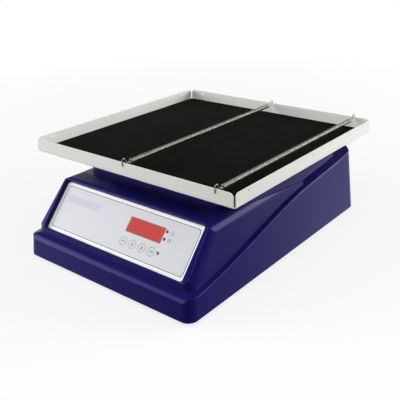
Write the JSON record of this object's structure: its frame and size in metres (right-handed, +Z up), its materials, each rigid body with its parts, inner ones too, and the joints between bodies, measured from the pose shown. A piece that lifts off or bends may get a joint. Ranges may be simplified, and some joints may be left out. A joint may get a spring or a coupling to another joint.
{
  "type": "orbital platform shaker",
  "caption": "Low benchtop shaker: a moulded base with a sloping control face carries a flat rimmed tray that circles to mix vessels held on its mat by springs.",
  "frame": {"origin": "on the table under the middle of the base", "axes": "+Z up, +X to the operator's right, +Y to the rear; the control face looks along -Y"},
  "size_m": [0.23, 0.282, 0.1086],
  "materials": {
    "housing_blue": "glossy moulded",
    "tray_white": "powder coated",
    "mat_black": "matt ribbed rubber",
    "spring_steel": "drawn spring wire",
    "overlay_grey": "printed satin film",
    "display_red": "tinted acrylic",
    "lamp_red": "tinted diffuse",
    "key_grey": "satin film",
    "foot_rubber": "moulded rubber",
    "plate_zinc": "zinc plated sheet",
    "screw_steel": "zinc plated",
    "bearing_steel": "ground",
    "shaft_steel": "turned",
    "cast_alloy": "die cast",
    "bush_bronze": "sintered bronze",
    "pulley_alloy": "turned",
    "belt_black": "flat belt",
    "motor_can": "black can",
    "board_green": "solder mask",
    "module_black": "moulded",
    "nylon_white": "moulded nylon",
    "core_steel": "varnished laminations",
    "winding_tape": "wrapped tape",
    "fitting_black": "moulded thermoplastic"
  },
  "bodies": {
    "base": {"upper_housing": "housing_blue", "base_plate": "plate_zinc", "rubber_feet": "foot_rubber", "housing_screws": "screw_steel", "control_overlay": "overlay_grey", "display_window": "display_red", "display_module": "module_black", "display_board": "board_green", "display_board_screws": "screw_steel", "key_switches": "module_black", "indicator_lamps": "lamp_red", "drive_plate": "plate_zinc", "drive_plate_screws": "screw_steel", "bearing_housing": "cast_alloy", "flange_screws": "screw_steel", "shaft_bearings": "bearing_steel", "idler_bushes": "bush_bronze", "drive_belt": "belt_black", "drive_motor": "motor_can", "motor_bracket": "plate_zinc", "motor_screws": "screw_steel", "chassis_screws": "screw_steel", "transformer_core": "core_steel", "transformer_winding": "winding_tape", "transformer_strap": "plate_zinc", "control_board": "board_green", "board_standoffs": "nylon_white", "mains_inlet": "fitting_black", "fuse_holder": "fitting_black", "switch_frame": "fitting_black"},
    "crank": {"crank_shaft": "shaft_steel", "drive_pulley": "pulley_alloy"},
    "tray": {"tray": "tray_white", "tray_mat": "mat_black", "tray_carrier": "cast_alloy", "carrier_bearings": "bearing_steel", "tray_screws": "screw_steel", "retaining_spring_middle": "spring_steel", "retaining_spring_right": "spring_steel"},
    "motor_rotor": {"motor_shaft": "shaft_steel", "motor_pulley": "pulley_alloy"},
    "rocker": {"power_rocker": "fitting_black"},
    "idler_front_left": {"idler_crank_front_left": "shaft_steel"},
    "idler_front_right": {"idler_crank_front_right": "shaft_steel"},
    "idler_rear_left": {"idler_crank_rear_left": "shaft_steel"},
    "idler_rear_right": {"idler_crank_rear_right": "shaft_steel"},
    "start_key": {"key_start": "key_grey"},
    "mode_key": {"key_mode": "key_grey"},
    "down_key": {"key_down": "key_grey"},
    "up_key": {"key_up": "key_grey"}
  },
  "joints": [
    {"name": "crank_spin", "type": "hinge", "parent": "base", "child": "crank", "pos_m": [0, 0, 0.061], "axis": [0, 0, 1], "continuous": true},
    {"name": "tray_pin", "type": "hinge", "parent": "crank", "child": "tray", "pos_m": [0, 0.01, 0.089], "axis": [0, 0, 1], "continuous": true},
    {"name": "motor_spin", "type": "hinge", "parent": "base", "child": "motor_rotor", "pos_m": [0.05, 0.052, 0.043], "axis": [0, 0, 1], "continuous": true},
    {"name": "rocker_tip", "type": "hinge", "parent": "base", "child": "rocker", "pos_m": [-0.04, 0.1335, 0.03358], "axis": [1, 0, 0], "range_deg": [0, 24]},
    {"name": "idler_front_left_spin", "type": "hinge", "parent": "base", "child": "idler_front_left", "pos_m": [-0.062, -0.058, 0.061], "axis": [0, 0, 1], "continuous": true},
    {"name": "idler_front_right_spin", "type": "hinge", "parent": "base", "child": "idler_front_right", "pos_m": [0.062, -0.058, 0.061], "axis": [0, 0, 1], "continuous": true},
    {"name": "idler_rear_left_spin", "type": "hinge", "parent": "base", "child": "idler_rear_left", "pos_m": [-0.062, 0.058, 0.061], "axis": [0, 0, 1], "continuous": true},
    {"name": "idler_rear_right_spin", "type": "hinge", "parent": "base", "child": "idler_rear_right", "pos_m": [0.062, 0.058, 0.061], "axis": [0, 0, 1], "continuous": true},
    {"name": "start_key_press", "type": "slide", "parent": "base", "child": "start_key", "axis": [0, 0.749, -0.6626], "range_m": [0, 0.0004], "stiffness_N_per_m": 3000},
    {"name": "mode_key_press", "type": "slide", "parent": "base", "child": "mode_key", "axis": [0, 0.749, -0.6626], "range_m": [0, 0.0004], "stiffness_N_per_m": 3000},
    {"name": "down_key_press", "type": "slide", "parent": "base", "child": "down_key", "axis": [0, 0.749, -0.6626], "range_m": [0, 0.0004], "stiffness_N_per_m": 3000},
    {"name": "up_key_press", "type": "slide", "parent": "base", "child": "up_key", "axis": [0, 0.749, -0.6626], "range_m": [0, 0.0004], "stiffness_N_per_m": 3000}
  ],
  "couplings": [
    {"joint": "tray_pin", "follows": "crank_spin", "ratio": -1},
    {"joint": "motor_spin", "follows": "crank_spin", "ratio": 4},
    {"joint": "idler_front_left_spin", "follows": "crank_spin", "ratio": 1},
    {"joint": "idler_front_right_spin", "follows": "crank_spin", "ratio": 1},
    {"joint": "idler_rear_left_spin", "follows": "crank_spin", "ratio": 1},
    {"joint": "idler_rear_right_spin", "follows": "crank_spin", "ratio": 1}
  ]
}
